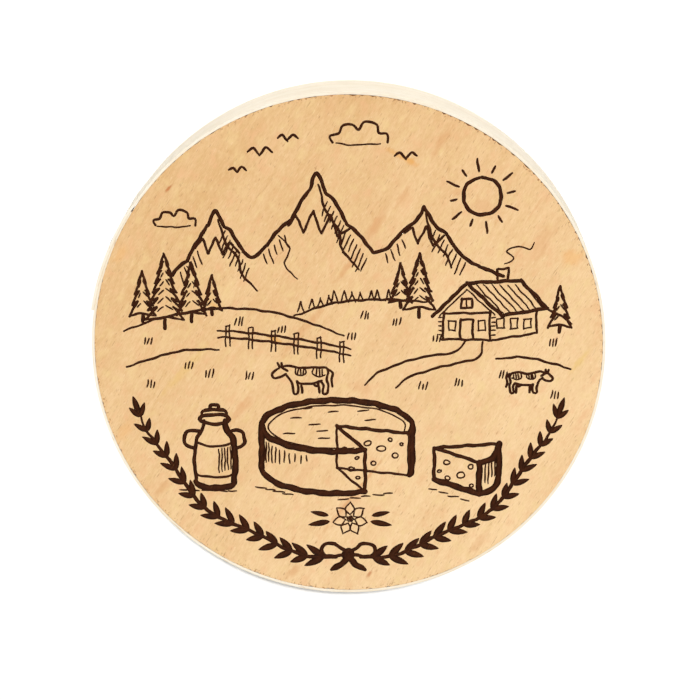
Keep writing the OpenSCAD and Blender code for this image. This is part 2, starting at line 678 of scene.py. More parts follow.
@dataclass(frozen=True)
class StapleSteel:
    """Flat galvanised staple wire, drawn and lightly scuffed."""

    name: str = "staple_steel"
    dull: Colour = (150, 148, 145)
    bright: Colour = (206, 204, 200)

    def material(self) -> bpy.types.Material:
        """Mix the finish.

        Returns:
            The material.
        """
        r = Recipe(bpy.data.materials.new(self.name))
        place = r.millimetres()
        drawn = r.noise(place, (0.06, 0.06, 2.5), 1.0, 2.0)
        scuffs = r.noise(place, (0.5, 0.5, 0.9), 2.0, 3.0, 0.6)
        colour = r.mix((0.5 + 0.8 * scuffs + 0.3 * drawn).held(), self.dull, self.bright)
        return r.finished(
            Base_Color=colour,
            Metallic=1.0,
            Roughness=(0.34 + 0.16 * scuffs + 0.08 * drawn).held(),
            Normal=r.bump((0.5 + drawn).held(), 0.006),
        )


@dataclass(frozen=True)
class StampedInk:
    """Dark brown ink that has sunk into the wood and skips the pores."""

    grain: float
    seed: float
    name: str = "stamped_ink"
    full: Colour = (44, 17, 3)
    thin: Colour = (74, 36, 12)
    pore: Colour = (124, 76, 38)

    def material(self) -> bpy.types.Material:
        """Mix the finish.

        Returns:
            The material.
        """
        r = Recipe(bpy.data.materials.new(self.name))
        wood = r.millimetres(self.grain)
        fibres = fibres_of(r, wood, self.seed)
        uneven = r.noise(wood, (3.0, 1.4, 2.0), self.seed + 7, 2.0)
        pores = pores_of(r, wood, self.seed)
        colour = r.mix((0.4 + 0.8 * fibres + 0.7 * uneven).held(), self.full, self.thin)
        colour = r.mix(pores * 0.35, colour, self.pore)
        return r.finished(
            Base_Color=colour,
            Roughness=(0.66 + 0.1 * uneven).held(),
            Normal=r.bump((0.5 + 0.5 * fibres - 0.7 * pores).held(), 0.012, 0.7),
            Specular_IOR_Level=0.08,
        )


# Discs


@dataclass
class ToothedDisc:
    """A stamped veneer disc whose edge the cutter's teeth have nicked."""

    name: str
    node: str
    body: str
    radius: float
    underside: float
    thickness: float
    finish: PeeledVeneer
    seed: int
    notch_n: int = 176
    steps: int = 8
    notch_depth: float = 0.36
    # Share of a notch's depth that the underside has, and how far below the top it starts to grow
    low_share: float = 0.3
    bite: float = 0.6
    # Share of the notches that the cutter hardly bit, and what is left of their depth
    missed: float = 0.12
    missed_depth: float = 0.25
    soft_edge: float = 0.05
    levels: int = 16

    def _depths(self) -> list[float]:
        """How far each point of the edge lies inside the radius, deepest across the grain.

        Returns:
            The depths in millimetres, from +X round.
        """
        hand = random.Random(self.seed)
        depths = [0.0] * (self.notch_n * self.steps)
        for notch in range(self.notch_n):
            degrees = (notch + 0.5) / self.notch_n * 360
            across = abs(math.cos(math.radians(degrees - self.finish.grain)))
            torn = 0.2 + 0.85 * across ** 1.4
            deep = self.notch_depth * torn * hand.uniform(0.3, 1.15)
            if hand.random() < self.missed:
                deep *= self.missed_depth
            middle = notch * self.steps + self.steps // 2 + hand.choice((-2, -1, 0, 0, 0, 1, 2))
            wide = hand.choice((0, 1, 1, 1, 2, 2, 3))
            for k in range(-wide, wide + 1):
                at = (middle + k) % len(depths)
                depths[at] = max(depths[at], deep * (1 - abs(k) / (wide + 1)) ** 0.8)
            rubbed = hand.uniform(0.01, 0.1) * across ** 2
            for k in range(self.steps):
                at = notch * self.steps + k
                depths[at] = max(depths[at], rubbed * hand.uniform(0.3, 1.0))
        return depths

    def _nick(self, disc: Piece, depths: list[float], z: float, before: float, after: float) -> None:
        """Deepen the notches of one rim.

        Args:
            disc: The disc.
            depths: Depth of each point of the edge.
            z: Height of the rim.
            before: Share of the depths that the rim has.
            after: Share that it gets.
        """
        deepest = max(depths)
        level = [round(d / deepest * self.levels) for d in depths]

        def chosen(place: Vector, n: int) -> bool:
            """Whether a vertex is on this rim and at this level."""
            step = round(math.atan2(place.y, place.x) / (2 * math.pi) * len(depths)) % len(depths)
            return abs(place.z - z * MM) < 0.1 * MM and level[step] == n

        for n in range(1, self.levels + 1):
            depth = n / self.levels * deepest
            shrink = (self.radius - after * depth) / (self.radius - before * depth)
            with shaping(disc, lambda place, n=n: chosen(place, n)):
                bpy.ops.transform.resize(value=(shrink, shrink, 1), center_override=(0, 0, 0))

    def build(self) -> Piece:
        """Stamp the disc, nick its edge, and give it its thickness.

        Returns:
            The finished disc.
        """
        depths = self._depths()
        bpy.ops.mesh.primitive_circle_add(
            vertices=len(depths), radius=self.radius * MM, fill_type="NGON",
            location=(0, 0, self.underside * MM))
        disc = settle(fresh(self.name))
        top = self.underside + self.thickness
        self._nick(disc, depths, self.underside, 0.0, self.low_share)
        for lift in (self.thickness - self.bite, self.bite):
            highest = max(v.co.z for v in disc.data.vertices)
            with shaping(disc, lambda middle, z=highest: abs(middle.z - z) < 0.01 * MM, faces=True):
                bpy.ops.mesh.extrude_region_move(TRANSFORM_OT_translate={"value": (0, 0, lift * MM)})
        self._nick(disc, depths, top, self.low_share, 1.0)
        with shaping(disc):
            bpy.ops.mesh.normals_make_consistent(inside=False)
        for z in (self.underside * MM, top * MM):
            with shaping(disc, lambda middle, z=z: abs(middle.z - z) < 0.1 * MM, faces=True):
                bpy.ops.mesh.bevel(offset=self.soft_edge * MM, segments=1, affect="EDGES",
                                   clamp_overlap=True)
        for material in (self.finish.material(), SawnEdge(f"{self.name}_edge").material()):
            disc.data.materials.append(material)
        # The edge faces, the notches' walls among them, take the edge finish: end grain darkened further as
        # painted shade
        for face in disc.data.polygons:
            face.material_index = 1 if abs(face.normal.z) < 0.5 else 0
        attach(disc, self.body)
        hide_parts(self.node)
        report(disc)
        return disc


# Bands


@dataclass
class WoundBand:
    """A thin strip, skived at its inner end, wound once round a disc and lapped on itself."""

    name: str
    node: str
    body: str
    radius: float
    bottom: float
    height: float
    lap_deg: float
    finish: BandVeneer
    thickness: float = 0.6
    lap_len: float = 24.0
    tip_t: float = 0.25
    skive_show: float = 2.0
    glue_t: float = 0.06
    tip_ease: float = 0.02
    climb_dip: float = 0.01
    step: float = 1.0
    rows: int = 6
    soft_edge: float = 0.07
    staples: tuple[Point, ...] = ()
    crown_len: float = 0.0

    def __post_init__(self) -> None:
        """Work out the skive's circle and where the climb starts."""
        full = self._angle(self.lap_len + self.skive_show)
        self.skive_r = self.radius + (self.tip_t + self.thickness) / 2
        p = Vector(polar(self.radius + self.tip_t, 0))
        q = Vector(polar(self.radius + self.thickness, full))
        half = (q - p) / 2
        rise = math.sqrt(self.skive_r ** 2 - half.length ** 2)
        self.skive_centre = (p + q) / 2 + rise * Vector((-half.y, half.x)) / half.length
        meet = self.radius + self.tip_t + self.glue_t + self.tip_ease
        self.climb = math.degrees(math.acos((self.radius - self.climb_dip) / meet))
        self.lap = self._angle(self.lap_len)

    def _angle(self, length: float) -> float:
        """The angle that a length covers on the disc's edge."""
        return math.degrees(length / self.radius)

    def _skived(self, degrees: float, extra: float = 0.0) -> float:
        """How far the skived face lies from the box's axis.

        Args:
            degrees: Angle past the inner tip.
            extra: Height over the face.

        Returns:
            The distance.
        """
        c, s = polar(1, degrees)
        along = self.skive_centre.x * c + self.skive_centre.y * s
        across = self.skive_centre.x * s - self.skive_centre.y * c
        return along + math.sqrt((self.skive_r + extra) ** 2 - across ** 2)

    def _inside(self, degrees: float) -> float:
        """How far the strip's inner face lies from the box's axis.

        Args:
            degrees: Angle wound from the inner tip.

        Returns:
            The distance.
        """
        left = degrees - 360
        if left < -self.climb:
            return self.radius
        lapped = self._skived(left, self.glue_t)
        straight = (self.radius - self.climb_dip) / math.cos(math.radians(left + self.climb))
        return max(self.radius, min(lapped, straight))

    def _path(self, end: float) -> list[Point]:
        """The line that the strip's inner face follows from the inner tip, at even steps."""
        count = round(end / 0.5)
        return [polar(self._inside(end * i / count), end * i / count) for i in range(count + 1)]

    def _dents(self) -> list[Point]:
        """Where the staples' crowns and tips press on the flat strip.

        Returns:
            Their middles, along the strip and up.
        """
        dents = []
        for share, z in self.staples:
            dents.append((share * self.lap_len, z))
            dents.append((run_of(self._path(360 + share * self.lap)), z))
        return dents

    def build(self) -> Piece:
        """Cut the strip, skive it, wind it, and ease its edges.

        Returns:
            The finished band.
        """
        path = self._path(360 + self.lap)
        length = run_of(path)
        strip = self._cut(length)
        self._skive(strip, length)
        self._remember_flat(strip)
        self._wind(strip, path)
        self._ease(strip)
        strip.data.materials.append(self.finish.material(self._dents(), self.crown_len))
        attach(strip, self.body)
        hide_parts(self.node)
        report(strip)
        return strip

    def _cut(self, length: float) -> Piece:
        """Cut a flat strip: X along it, -Y its outer face, Z its height.

        Args:
            length: Its length.

        Returns:
            The strip.
        """
        bpy.ops.mesh.primitive_grid_add(
            x_subdivisions=round(length / self.step), y_subdivisions=self.rows, size=1,
            location=(0, 0, 0), rotation=(math.pi / 2, 0, 0))
        strip = settle(fresh(self.name))
        with shaping(strip):
            bpy.ops.transform.resize(value=(length * MM, 1, self.height * MM))
            bpy.ops.transform.translate(
                value=(length / 2 * MM, 0, (self.bottom + self.height / 2) * MM))
            bpy.ops.mesh.extrude_region_move(
                TRANSFORM_OT_translate={"value": (0, -self.thickness * MM, 0)})
            bpy.ops.mesh.select_all(action="SELECT")
            bpy.ops.mesh.normals_make_consistent(inside=False)
        return strip

    def _skive(self, strip: Piece, length: float) -> None:
        """Thin the inner end, on its outer face, towards the tip.

        Args:
            strip: The flat strip.
            length: Its length.
        """
        stations = round(length / self.step)
        spacing = length / stations
        for i in range(int((self.lap_len + self.skive_show) / spacing) + 1):
            x = i * spacing
            left = self._skived(self._angle(x)) - self.radius
            with shaping(strip, lambda place, x=x: abs(place.x - x * MM) < spacing * MM / 4):
                bpy.ops.transform.resize(value=(1, min(1.0, left / self.thickness), 1),
                                         center_override=(0, 0, 0))

    @staticmethod
    def _remember_flat(strip: Piece) -> None:
        """Keep each point's place on the flat strip, for the grain."""
        flat = strip.data.attributes.new(FLAT_PLACE, "FLOAT_VECTOR", "POINT")
        flat.data.foreach_set("vector", [n / MM for v in strip.data.vertices for n in v.co])

    def _wind(self, strip: Piece, path: list[Point]) -> None:
        """Wind the strip along its path and turn the lap to its place.

        Args:
            strip: The flat strip.
            path: The line of its inner face.
        """
        former = bpy.data.curves.new("former", "CURVE")
        former.dimensions = "3D"
        former.twist_mode = "Z_UP"
        line = former.splines.new("POLY")
        line.points.add(len(path) - 1)
        line.points.foreach_set("co", [n for x, y in path for n in (x * MM, y * MM, 0, 1)])
        guide = bpy.data.objects.new("former", former)
        bpy.context.scene.collection.objects.link(guide)
        modify(strip, "CURVE", object=guide, deform_axis="POS_X")
        bpy.data.objects.remove(guide)
        strip.data.transform(Matrix.Rotation(math.radians(self.lap_deg), 4, "Z"))

    def _ease(self, strip: Piece) -> None:
        """Round the strip's long edges a little and shade it smooth.

        Args:
            strip: The wound strip.
        """
        modify(strip, "BEVEL", width=self.soft_edge * MM, segments=2, limit_method="ANGLE",
               angle_limit=math.radians(50))
        take(strip)
        bpy.ops.object.shade_smooth_by_angle(angle=math.radians(35))


@dataclass
class LapGlue(WoundBand):
    """The line of glue between the two layers of a band's lap."""

    recess: float = 0.08

    def build(self) -> Piece:
        """Lay the glue along the skived face.

        Returns:
            The finished glue line.
        """
        count = 2 * round(self.lap)
        path = [polar(self._skived(self.lap * i / count), self.lap * i / count) for i in range(count + 1)]
        self.bottom += self.recess
        self.height -= 2 * self.recess
        self.thickness = self.glue_t
        glue = self._cut(run_of(path))
        self._wind(glue, path)
        glue.data.materials.append(DriedGlue().material())
        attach(glue, self.body)
        report(glue)
        return glue


# Staples


@dataclass
class ClinchedStaple:
    """A carried CAD staple, its edges eased."""

    node: str
    finish: bpy.types.Material
    soft_edge: float = 0.06

    def dress(self) -> Piece:
        """Merge, ease and finish the staple.

        Returns:
            The staple.
        """
        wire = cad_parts[self.node]
        modify(wire, "WELD", keep_live=True, merge_threshold=0.002 * MM)
        modify(wire, "BEVEL", keep_live=True, width=self.soft_edge * MM, segments=2,
               limit_method="ANGLE", angle_limit=math.radians(40))
        wire.data.materials.clear()
        wire.data.materials.append(self.finish)
        report(wire)
        return wire


# Studio


@dataclass(frozen=True)
class Studio:
    """Pale floor, a lamp and two panels, light from all round, and the camera."""

    face_z: float
    tilt: float = 13.1
    swing: float = 3.4
    distance: float = 0.6
    lens: float = 137.8
    aim: Point = (0.36, -0.57)
    sensor: float = 36.0
    sky: float = 0.35
    floor_glow: float = 0.08
    floor_size: float = 12.0
    floor_tone: Colour = (252, 252, 252)
    lamp_away: float = 3.0

    def build(self) -> None:
        """Set up floor, lamps, sky and camera."""
        self._floor()
        self._lamp("key_lamp", azimuth=83.5, height=72.2, size=0.06, strength=0.59)
        self._lamp("side_panel", azimuth=84.0, height=24.0, size=2.0, strength=0.18)
        self._lamp("fill_panel", azimuth=262.0, height=18.0, size=2.4, strength=0.18)
        self._sky()
        self._camera()
        bpy.context.scene.view_settings.view_transform = "Standard"

    @staticmethod
    def _seen(r: Recipe) -> Reading:
        """Tell the rays that show the background itself, straight or by gloss or glass.

        Args:
            r: The recipe that uses it.

        Returns:
            1 for those rays, 0 for the others.
        """
        rays = r.node("ShaderNodeLightPath").outputs
        seen = Reading(r, rays["Is Camera Ray"]) + Reading(r, rays["Is Glossy Ray"])
        return (seen + Reading(r, rays["Is Transmission Ray"])).held()

    def _floor(self) -> None:
        """Lay a pale floor that keeps the box's shadow."""
        bpy.ops.mesh.primitive_plane_add(size=self.floor_size, location=(0, 0, 0))
        floor = fresh("floor")
        r = Recipe(bpy.data.materials.new("floor_white"))
        paint = r.node("ShaderNodeBsdfPrincipled", None, {
            "Base Color": rgba(self.floor_tone), "Roughness": 0.9, "Specular IOR Level": 0.0,
        })
        glow = r.node("ShaderNodeEmission", None, {
            "Color": WHITE, "Strength": self._seen(r) * self.floor_glow,
        })
        both = r.node("ShaderNodeAddShader", None, {0: paint.outputs[0], 1: glow.outputs[0]})
        r.node("ShaderNodeOutputMaterial", None, {"Surface": both.outputs[0]})
        floor.data.materials.append(r.host)

    def _lamp(self, name: str, azimuth: float, height: float, size: float, strength: float) -> None:
        """Hang a round soft lamp.

        Args:
            name: Its name.
            azimuth: Its direction over the floor, in degrees from +X.
            height: Its height over the floor, in degrees.
            size: Its width in metres.
            strength: How bright it makes a white surface that faces it.
        """
        a, e = math.radians(azimuth), math.radians(height)
        way = Vector((math.cos(a) * math.cos(e), math.sin(a) * math.cos(e), math.sin(e)))
        bpy.ops.object.light_add(type="AREA", location=way * self.lamp_away)
        lamp = bpy.context.view_layer.objects.active
        lamp.name = name
        lamp.rotation_euler = way.to_track_quat("Z", "Y").to_euler()
        lamp.data.shape = "DISK"
        lamp.data.size = size
        lamp.data.energy = strength * (math.pi * self.lamp_away) ** 2

    def _sky(self) -> None:
        """Light the box evenly from all round, white where it is seen."""
        world = bpy.data.worlds.new("studio")
        bpy.context.scene.world = world
        r = Recipe(world)
        seen = self._seen(r)
        sky = r.node("ShaderNodeBackground", None, {
            "Color": WHITE, "Strength": seen + (1.0 - seen) * self.sky})
        r.node("ShaderNodeOutputWorld", None, {"Surface": sky.outputs[0]})

    def _camera(self) -> None:
        """Stand the camera where the photograph was taken."""
        tilt, swing = math.radians(self.tilt), math.radians(self.swing)
        back = Vector((math.sin(tilt) * math.sin(swing), math.sin(tilt) * math.cos(swing), math.cos(tilt)))
        right = Vector((0, 1, 0)).cross(back).normalized()
        up = back.cross(right)
        target = Vector((0, 0, self.face_z * MM)) + (right * self.aim[0] + up * self.aim[1]) * MM
        bpy.ops.object.camera_add(location=target + back * self.distance)
        camera = bpy.context.view_layer.objects.active
        camera.name = "camera"
        camera.rotation_euler = Matrix((right, up, back)).transposed().to_euler()
        camera.data.lens = self.lens
        camera.data.sensor_width = self.sensor
        camera.data.clip_start = 0.01
        bpy.context.scene.camera = camera


# The lid's drawing


class Nib(Enum):
    """The pens of the lid's drawing, by the width of their line."""

    BROAD = 1.5
    MIDDLE = 0.88
    FINE = 0.6
    HAIR = 0.4


@dataclass
class Pen:
    """Draws strokes by hand, a little unsteady, with round ends.

    A stroke is a list of points along its middle, each with half of its width.
    """

    seed: int
    step: float = 0.35
    sway: float = 0.085
    # Turns at which a round end is drawn, and steps along a leaf
    cap_turns: tuple[float, ...] = (0.5, 0.95, 1.3, 1.5)
    leaf_steps: int = 14
    strokes: list[Stroke] = field(default_factory=list)

    def __post_init__(self) -> None:
        """Seed the hand."""
        self.hand = random.Random(self.seed)

    def _smooth(self, points: Sequence[Point]) -> list[Point]:
        """Even steps along a smooth curve through the points.

        Args:
            points: Where it passes.

        Returns:
            The steps.
        """
        knots = [points[0], *points, points[-1]]
        path: list[Point] = []
        for a, b, c, d in zip(knots, knots[1:], knots[2:], knots[3:]):
            count = max(1, round(math.dist(b, c) / self.step))
            for t in (k / count for k in range(count)):
                x, y = (0.5 * (2 * b[j] + (c[j] - a[j]) * t + (2 * a[j] - 5 * b[j] + 4 * c[j] - d[j]) * t ** 2
                               + (3 * b[j] - a[j] - 3 * c[j] + d[j]) * t ** 3) for j in (0, 1))
                path.append((x, y))
        return [*path, points[-1]]

    def curve(self, points: Sequence[Point], nib: Nib = Nib.FINE, ends: Point = (0.75, 0.7)) -> None:
        """Draw one smooth stroke.

        Args:
            points: Where it passes.
            nib: The pen.
            ends: Shares of the pen's width at the start and at the end.
        """
        path = self._smooth(points)
        total = run_of(path)
        phase = [self.hand.uniform(0, 2 * math.pi) for _ in range(4)]
        pace = self.hand.uniform(0.5, 0.85)
        run = 0.0
        line = []
        for i, (x, y) in enumerate(path):
            run += math.dist(path[i - 1], path[i]) if i else 0.0
            share = run / max(total, 1e-6)
            near = min(1.0, 5 * min(share, 1 - share))
            end = ends[0] if share < 0.5 else ends[1]
            wide = nib.value / 2 * (end + (1 - end) * near) * (1 + 0.07 * math.sin(run * 1.9 + phase[1]))
            dx = math.sin(run * pace * 1.5 + phase[0]) + 0.5 * math.sin(run * pace * 3.7 + phase[1])
            dy = math.sin(run * pace * 1.7 + phase[2]) + 0.5 * math.sin(run * pace * 3.3 + phase[3])
            line.append((x + self.sway * dx, y + self.sway * dy, wide))
        self.strokes.append(self._rounded(line))

    def _rounded(self, line: Stroke) -> Stroke:
        """Give a stroke round ends.

        Args:
            line: The stroke.

        Returns:
            The longer stroke.
        """
        def cap(end: Sequence[float], inner: Sequence[float]) -> Stroke:
            """Ever narrower points past an end.

            Args:
                end: The stroke's last point.
                inner: The point before it.

            Returns:
                The points.
            """
            reach = math.dist(end[:2], inner[:2]) or 1.0
            ux, uy = (end[0] - inner[0]) / reach, (end[1] - inner[1]) / reach
            return [(end[0] + ux * end[2] * math.sin(a), end[1] + uy * end[2] * math.sin(a),
                     end[2] * math.cos(a)) for a in self.cap_turns]

        return cap(line[0], line[1])[::-1] + line + cap(line[-1], line[-2])

    def line(self, points: Sequence[Point], nib: Nib = Nib.FINE) -> None:
        """Draw straight from point to point."""
        for a, b in zip(points, points[1:]):
            self.curve((a, b), nib, (0.92, 0.92))

    def arc(self, middle: Point, radii: Point, start: float, end: float, nib: Nib = Nib.FINE,
            ends: Point = (0.85, 0.85)) -> None:
        """Draw a stretch of an ellipse.

        Args:
            middle: Its middle.
            radii: Its half width and half height.
            start: Angle of its start, in degrees.
            end: Angle of its end.
            nib: The pen.
            ends: Shares of the pen's width at the start and at the end.
        """
        count = max(4, round(abs(end - start) / 18))
        turns = [math.radians(start + (end - start) * i / count) for i in range(count + 1)]
        self.curve([(middle[0] + radii[0] * math.cos(t), middle[1] + radii[1] * math.sin(t)) for t in turns],
                   nib, ends)

    def hatch(self, start: Point, end: Point, lean: Point, count: int, nib: Nib = Nib.HAIR) -> None:
        """Draw short parallel strokes that begin on a line.

        Args:
            start: Start of the line.
            end: End of the line.
            lean: From the beginning to the end of a stroke.
            count: Number of strokes.
            nib: The pen.
        """
        for i in range(count):
            share = (i + 0.5) / count
            x, y = start[0] + (end[0] - start[0]) * share, start[1] + (end[1] - start[1]) * share
            k = self.hand.uniform(0.7, 1.15)
            self.curve(((x, y), (x + lean[0] * k, y + lean[1] * k)), nib)

    def leaf(self, root: Point, degrees: float, length: float, width: float) -> None:
        """Draw a filled leaf.

        Args:
            root: Where it grows from.
            degrees: The way it points.
            length: Its length.
            width: Its width.
        """
        c, s = polar(1.0, degrees)
        shares = [i / self.leaf_steps for i in range(self.leaf_steps + 1)]
        self.strokes.append([(root[0] + c * length * t, root[1] + s * length * t,
                              0.06 + width / 2 * math.sin(math.pi * t ** 0.8) ** 0.8) for t in shares])

    def shape(self, points: Sequence[Point], at: Point, scale: float, nib: Nib = Nib.FINE,
              flip: bool = False) -> None:
        """Draw a smooth stroke given about its own origin, placed, scaled and maybe mirrored."""
        side = -scale if flip else scale
        self.curve([(at[0] + side * x, at[1] + scale * y) for x, y in points], nib, (0.9, 0.9))


@dataclass
class LidPicture:
    """A line drawing of an alpine pasture over a still life of cheese, in a leafy wreath."""

    name: str
    body: str
    top: float
    ink: StampedInk
    seed: int = 7
    rise: float = 0.006
    crown: float = 0.008

    def build(self) -> Piece:
        """Draw the picture and lay it on the lid.

        Returns:
            The inked lines, as one piece.
        """
        self.pen = Pen(self.seed)
        self._mountains()
        self._sky()
        self._meadow()
        for x, y, h in ((-46.0, 5.8, 11.5), (-41.0, 4.2, 17), (-35.0, 5.8, 13.5), (-30.4, 7.4, 9),
                        (11.6, 9.2, 10), (15.8, 7.0, 14.5), (47.2, 3.6, 10.5)):
            self._fir(x, y, h)
        self._chalet()
        self._fence()
        self._cow((-9.8, -10.6), 1.12)
        self._cow((40.2, -10.3), 0.86, flip=True)
        self._churn()
        self._cheese()
        self._wedge()
        self._flower((0.4, -40.0), 3.0)
        self._wreath()
        piece = self._inked(self.pen.strokes)
        piece.data.materials.append(self.ink.material())
        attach(piece, self.body)
        report(piece)
        return piece

    def _inked(self, strokes: list[Stroke]) -> Piece:
        """Turn strokes into lines that stand a hair proud of the wood.

        Args:
            strokes: The strokes.

        Returns:
            The lines, as one mesh.
        """
        drawing = bpy.data.curves.new(self.name, "CURVE")
        drawing.dimensions = "3D"
        drawing.bevel_depth = MM
        drawing.bevel_resolution = 0
        drawing.use_fill_caps = True
        for stroke in strokes:
            line = drawing.splines.new("POLY")
            line.points.add(len(stroke) - 1)
            line.points.foreach_set("co", [n for x, y, _ in stroke for n in (x * MM, y * MM, 0, 1)])
            line.points.foreach_set("radius", [w for _, _, w in stroke])
        piece = bpy.data.objects.new(self.name, drawing)
        bpy.context.scene.collection.objects.link(piece)
        take(piece)
        bpy.ops.object.convert(target="MESH")
        piece = fresh(self.name)
        with shaping(piece):
            flat = self.crown / (Nib.BROAD.value / 2)
            bpy.ops.transform.resize(value=(1, 1, flat), center_override=(0, 0, 0))
            bpy.ops.transform.translate(value=(0, 0, (self.top + self.rise) * MM))
        return piece

    def _mountains(self) -> None:
        """Three peaks with snow lines and shaded flanks."""
        pen = self.pen
        ridge = ((-39.3, 16.4), (-38.5, 17.5), (-36, 19.6), (-33, 25), (-31.2, 27.6), (-29.5, 31),
                 (-27.6, 27.4), (-26, 26.2), (-23.4, 21.8), (-21.2, 20.4), (-18.2, 23.2),
                 (-15, 27.2), (-12.6, 29), (-10.2, 33.6), (-8.6, 35.6), (-7, 39.4), (-5, 35), (-3.2, 33.4),
                 (-0.4, 28.2), (2.4, 25.6), (5.6, 21.6), (9, 23), (12.4, 27), (14.8, 28.6), (16.8, 32),
                 (18.8, 28.4), (21.8, 25.8), (25, 21.2), (29, 18.6), (34.4, 16.4))
        for i in range(0, len(ridge) - 1, 2):
            pen.curve(ridge[i:i + 3], Nib.MIDDLE, (0.85, 0.85))
        pen.line(((-34.2, 22.6), (-32.4, 24.6), (-31.2, 21.4), (-29.4, 25), (-28, 21.2), (-26.4, 23.8),
                  (-24.2, 21.6)))
        pen.line(((-13.4, 27.6), (-11.6, 30), (-10, 26.2), (-7.8, 31), (-6, 26), (-4, 30), (-2.4, 25.4),
                  (0.2, 27)))
        pen.line(((12.4, 26.2), (14.2, 27.2), (15.4, 23.8), (17.2, 27.6), (18.8, 23.2), (21.2, 25.6)))
        pen.curve(((-28.8, 29), (-27.4, 24), (-24.8, 20.6), (-23.6, 16.6), (-20.4, 13)))
        pen.curve(((-6.6, 37), (-5, 31), (-2.2, 26.8), (-1.4, 22.4), (2.4, 17.8)))
        pen.curve(((17.2, 30.4), (18.6, 25), (21.6, 21.4), (22.8, 18.2)))
        pen.curve(((-15.6, 25.4), (-13, 22.6), (-14.2, 19), (-11.4, 15.6)), Nib.HAIR)
        pen.curve(((-36, 18.4), (-34, 16.4), (-34.6, 13.6)), Nib.HAIR)
        for top, foot, n in (((-27.8, 27.0), (-21.8, 17.4), 9), ((-5.0, 33.6), (4.4, 19.8), 13),
                             ((18.8, 27.2), (26.4, 18.8), 8)):
            pen.hatch(top, foot, (-1.5, -3.6), n)
        for start, end, n in (((-38, 16.4), (-33, 22.4), 5), ((-19.4, 20.6), (-13.6, 26), 5),
                              ((7.6, 20.8), (12.6, 25.2), 4)):
            pen.hatch(start, end, (0.9, -2.8), n)

    def _sky(self) -> None:
        """The sun, two clouds and some birds."""
        pen = self.pen
        x, y = 29.6, 34.4
        pen.arc((x, y), (4.2, 4.2), 100, 452, Nib.MIDDLE)
        for i in range(12):
            c, s = polar(1.0, i * 30 + 8)
            out = 8.4 if i % 2 else 7.2
            pen.curve(((x + 5.7 * c, y + 5.7 * s), (x + out * c, y + out * s)))
        for bird_x, bird_y, size in ((-19.6, 43.4, 2.6), (-13.4, 46.6, 2.1), (-24.6, 39.6, 1.8),
                                     (12.6, 42.6, 2.3)):
            pen.curve(((bird_x - size, bird_y + 0.3 * size), (bird_x - 0.5 * size, bird_y + 0.6 * size),
                       (bird_x, bird_y)))
            pen.curve(((bird_x, bird_y), (bird_x + 0.55 * size, bird_y + 0.68 * size),
                       (bird_x + 1.1 * size, bird_y + 0.3 * size)))
        cloud = ((-6.4, 0), (-6.9, 1.7), (-4.9, 2.3), (-4.1, 4), (-1.6, 4.2), (-0.3, 3.2), (1.1, 4.9),
                 (3.8, 4.2), (4.3, 2.5), (6.3, 2.1), (6.3, 0.1))
        for at, scale in (((2.6, 46.2), 0.95), ((-38.4, 27.6), 0.7)):
            pen.shape(cloud, at, scale)
            pen.shape(((-5.6, -0.1), (-1, -0.5), (4.6, -0.1)), at, scale, Nib.HAIR)

    def _meadow(self) -> None:
        """Rolling ground, a track, small far trees and tufts of grass."""
        pen = self.pen
        for ground in (((-50.2, 3.6), (-42, 6.6), (-30, 8.8), (-18, 8.2), (-8, 5.4), (-1, 2.6)),
                       ((-12, 7.2), (-3, 10.2), (8, 11), (18.6, 10.4)),
                       ((43.8, 9.2), (47.4, 7.4), (49.8, 5.6)),
                       ((-49.8, -4.6), (-38, -1.0), (-29, -0.6)),
                       ((33, -2.6), (40, -2.2), (49.9, -4.8)),
                       ((30, 1.4), (29, -2.2), (20.8, -4.4), (13.6, -6.8), (10.6, -9.4)),
                       ((26, 1.4), (23.6, -1.0), (15.6, -2.4), (7.4, -5.4), (3.6, -8.6))):
            pen.curve(ground)
        for i in range(11):
            x = -10.4 + 1.9 * i + pen.hand.uniform(-0.4, 0.4)
            y = 7.6 + 3.2 * math.sin((x + 12) / 12) ** 0.8 if x > -12 else 7.6
            h = pen.hand.uniform(1.9, 3.3)
            pen.curve(((x - 0.32 * h, y), (x - 0.12 * h, y + 0.55 * h), (x, y + h)), Nib.HAIR)
            pen.curve(((x, y + h), (x + 0.14 * h, y + 0.55 * h), (x + 0.34 * h, y)), Nib.HAIR)
        for x, y in ((-45, 0.6), (-24.6, 5.0), (-15, 3.4), (3.6, 6.6), (10.6, 5.2), (45.6, 0.4), (34.6, -7.0),
                     (19.6, 1.4), (0.6, 1.8), (-22.4, -7.4), (-36, -5), (-44.6, -9.4), (46.2, -11.6),
                     (16.6, -9.6), (-31.4, -7.0), (24.6, -8.8)):
            pen.hatch((x - 1.1, y), (x + 1.1, y), (0.35, 1.7), 3)

    def _fir(self, x: float, foot: float, height: float) -> None:
        """A fir in ragged tiers.

        Args:
            x: Its place from left to right.
            foot: Height of its foot.
            height: Its own height.
        """
        pen = self.pen
        tiers = max(4, round(height / 2.6))
        for side in (-1, 1):
            edge = [(x, foot + height)]
            for i in range(1, tiers + 1):
                share = i / tiers
                half = side * height * 0.25 * share ** 0.85
                y = foot + height * (1 - 0.86 * share)
                edge.append((x + half, y - 0.35))
                if i < tiers:
                    edge.append((x + half * 0.5, y + 0.45))
            pen.line(edge)
        y = foot + height * 0.13
        pen.curve(((x - height * 0.24, y - 0.2), (x, y + 0.4), (x + height * 0.24, y - 0.2)))
        pen.line(((x, y), (x, foot)), Nib.MIDDLE)
        for i in range(1, tiers):
            share = i / tiers
            y = foot + height * (1 - 0.8 * share)
            pen.curve(((x + 0.2, y), (x + height * 0.1 * share + 0.4, y - 1.1)), Nib.HAIR)
            pen.curve(((x - 0.3, y - 0.4), (x - height * 0.09 * share - 0.4, y - 1.4)), Nib.HAIR)

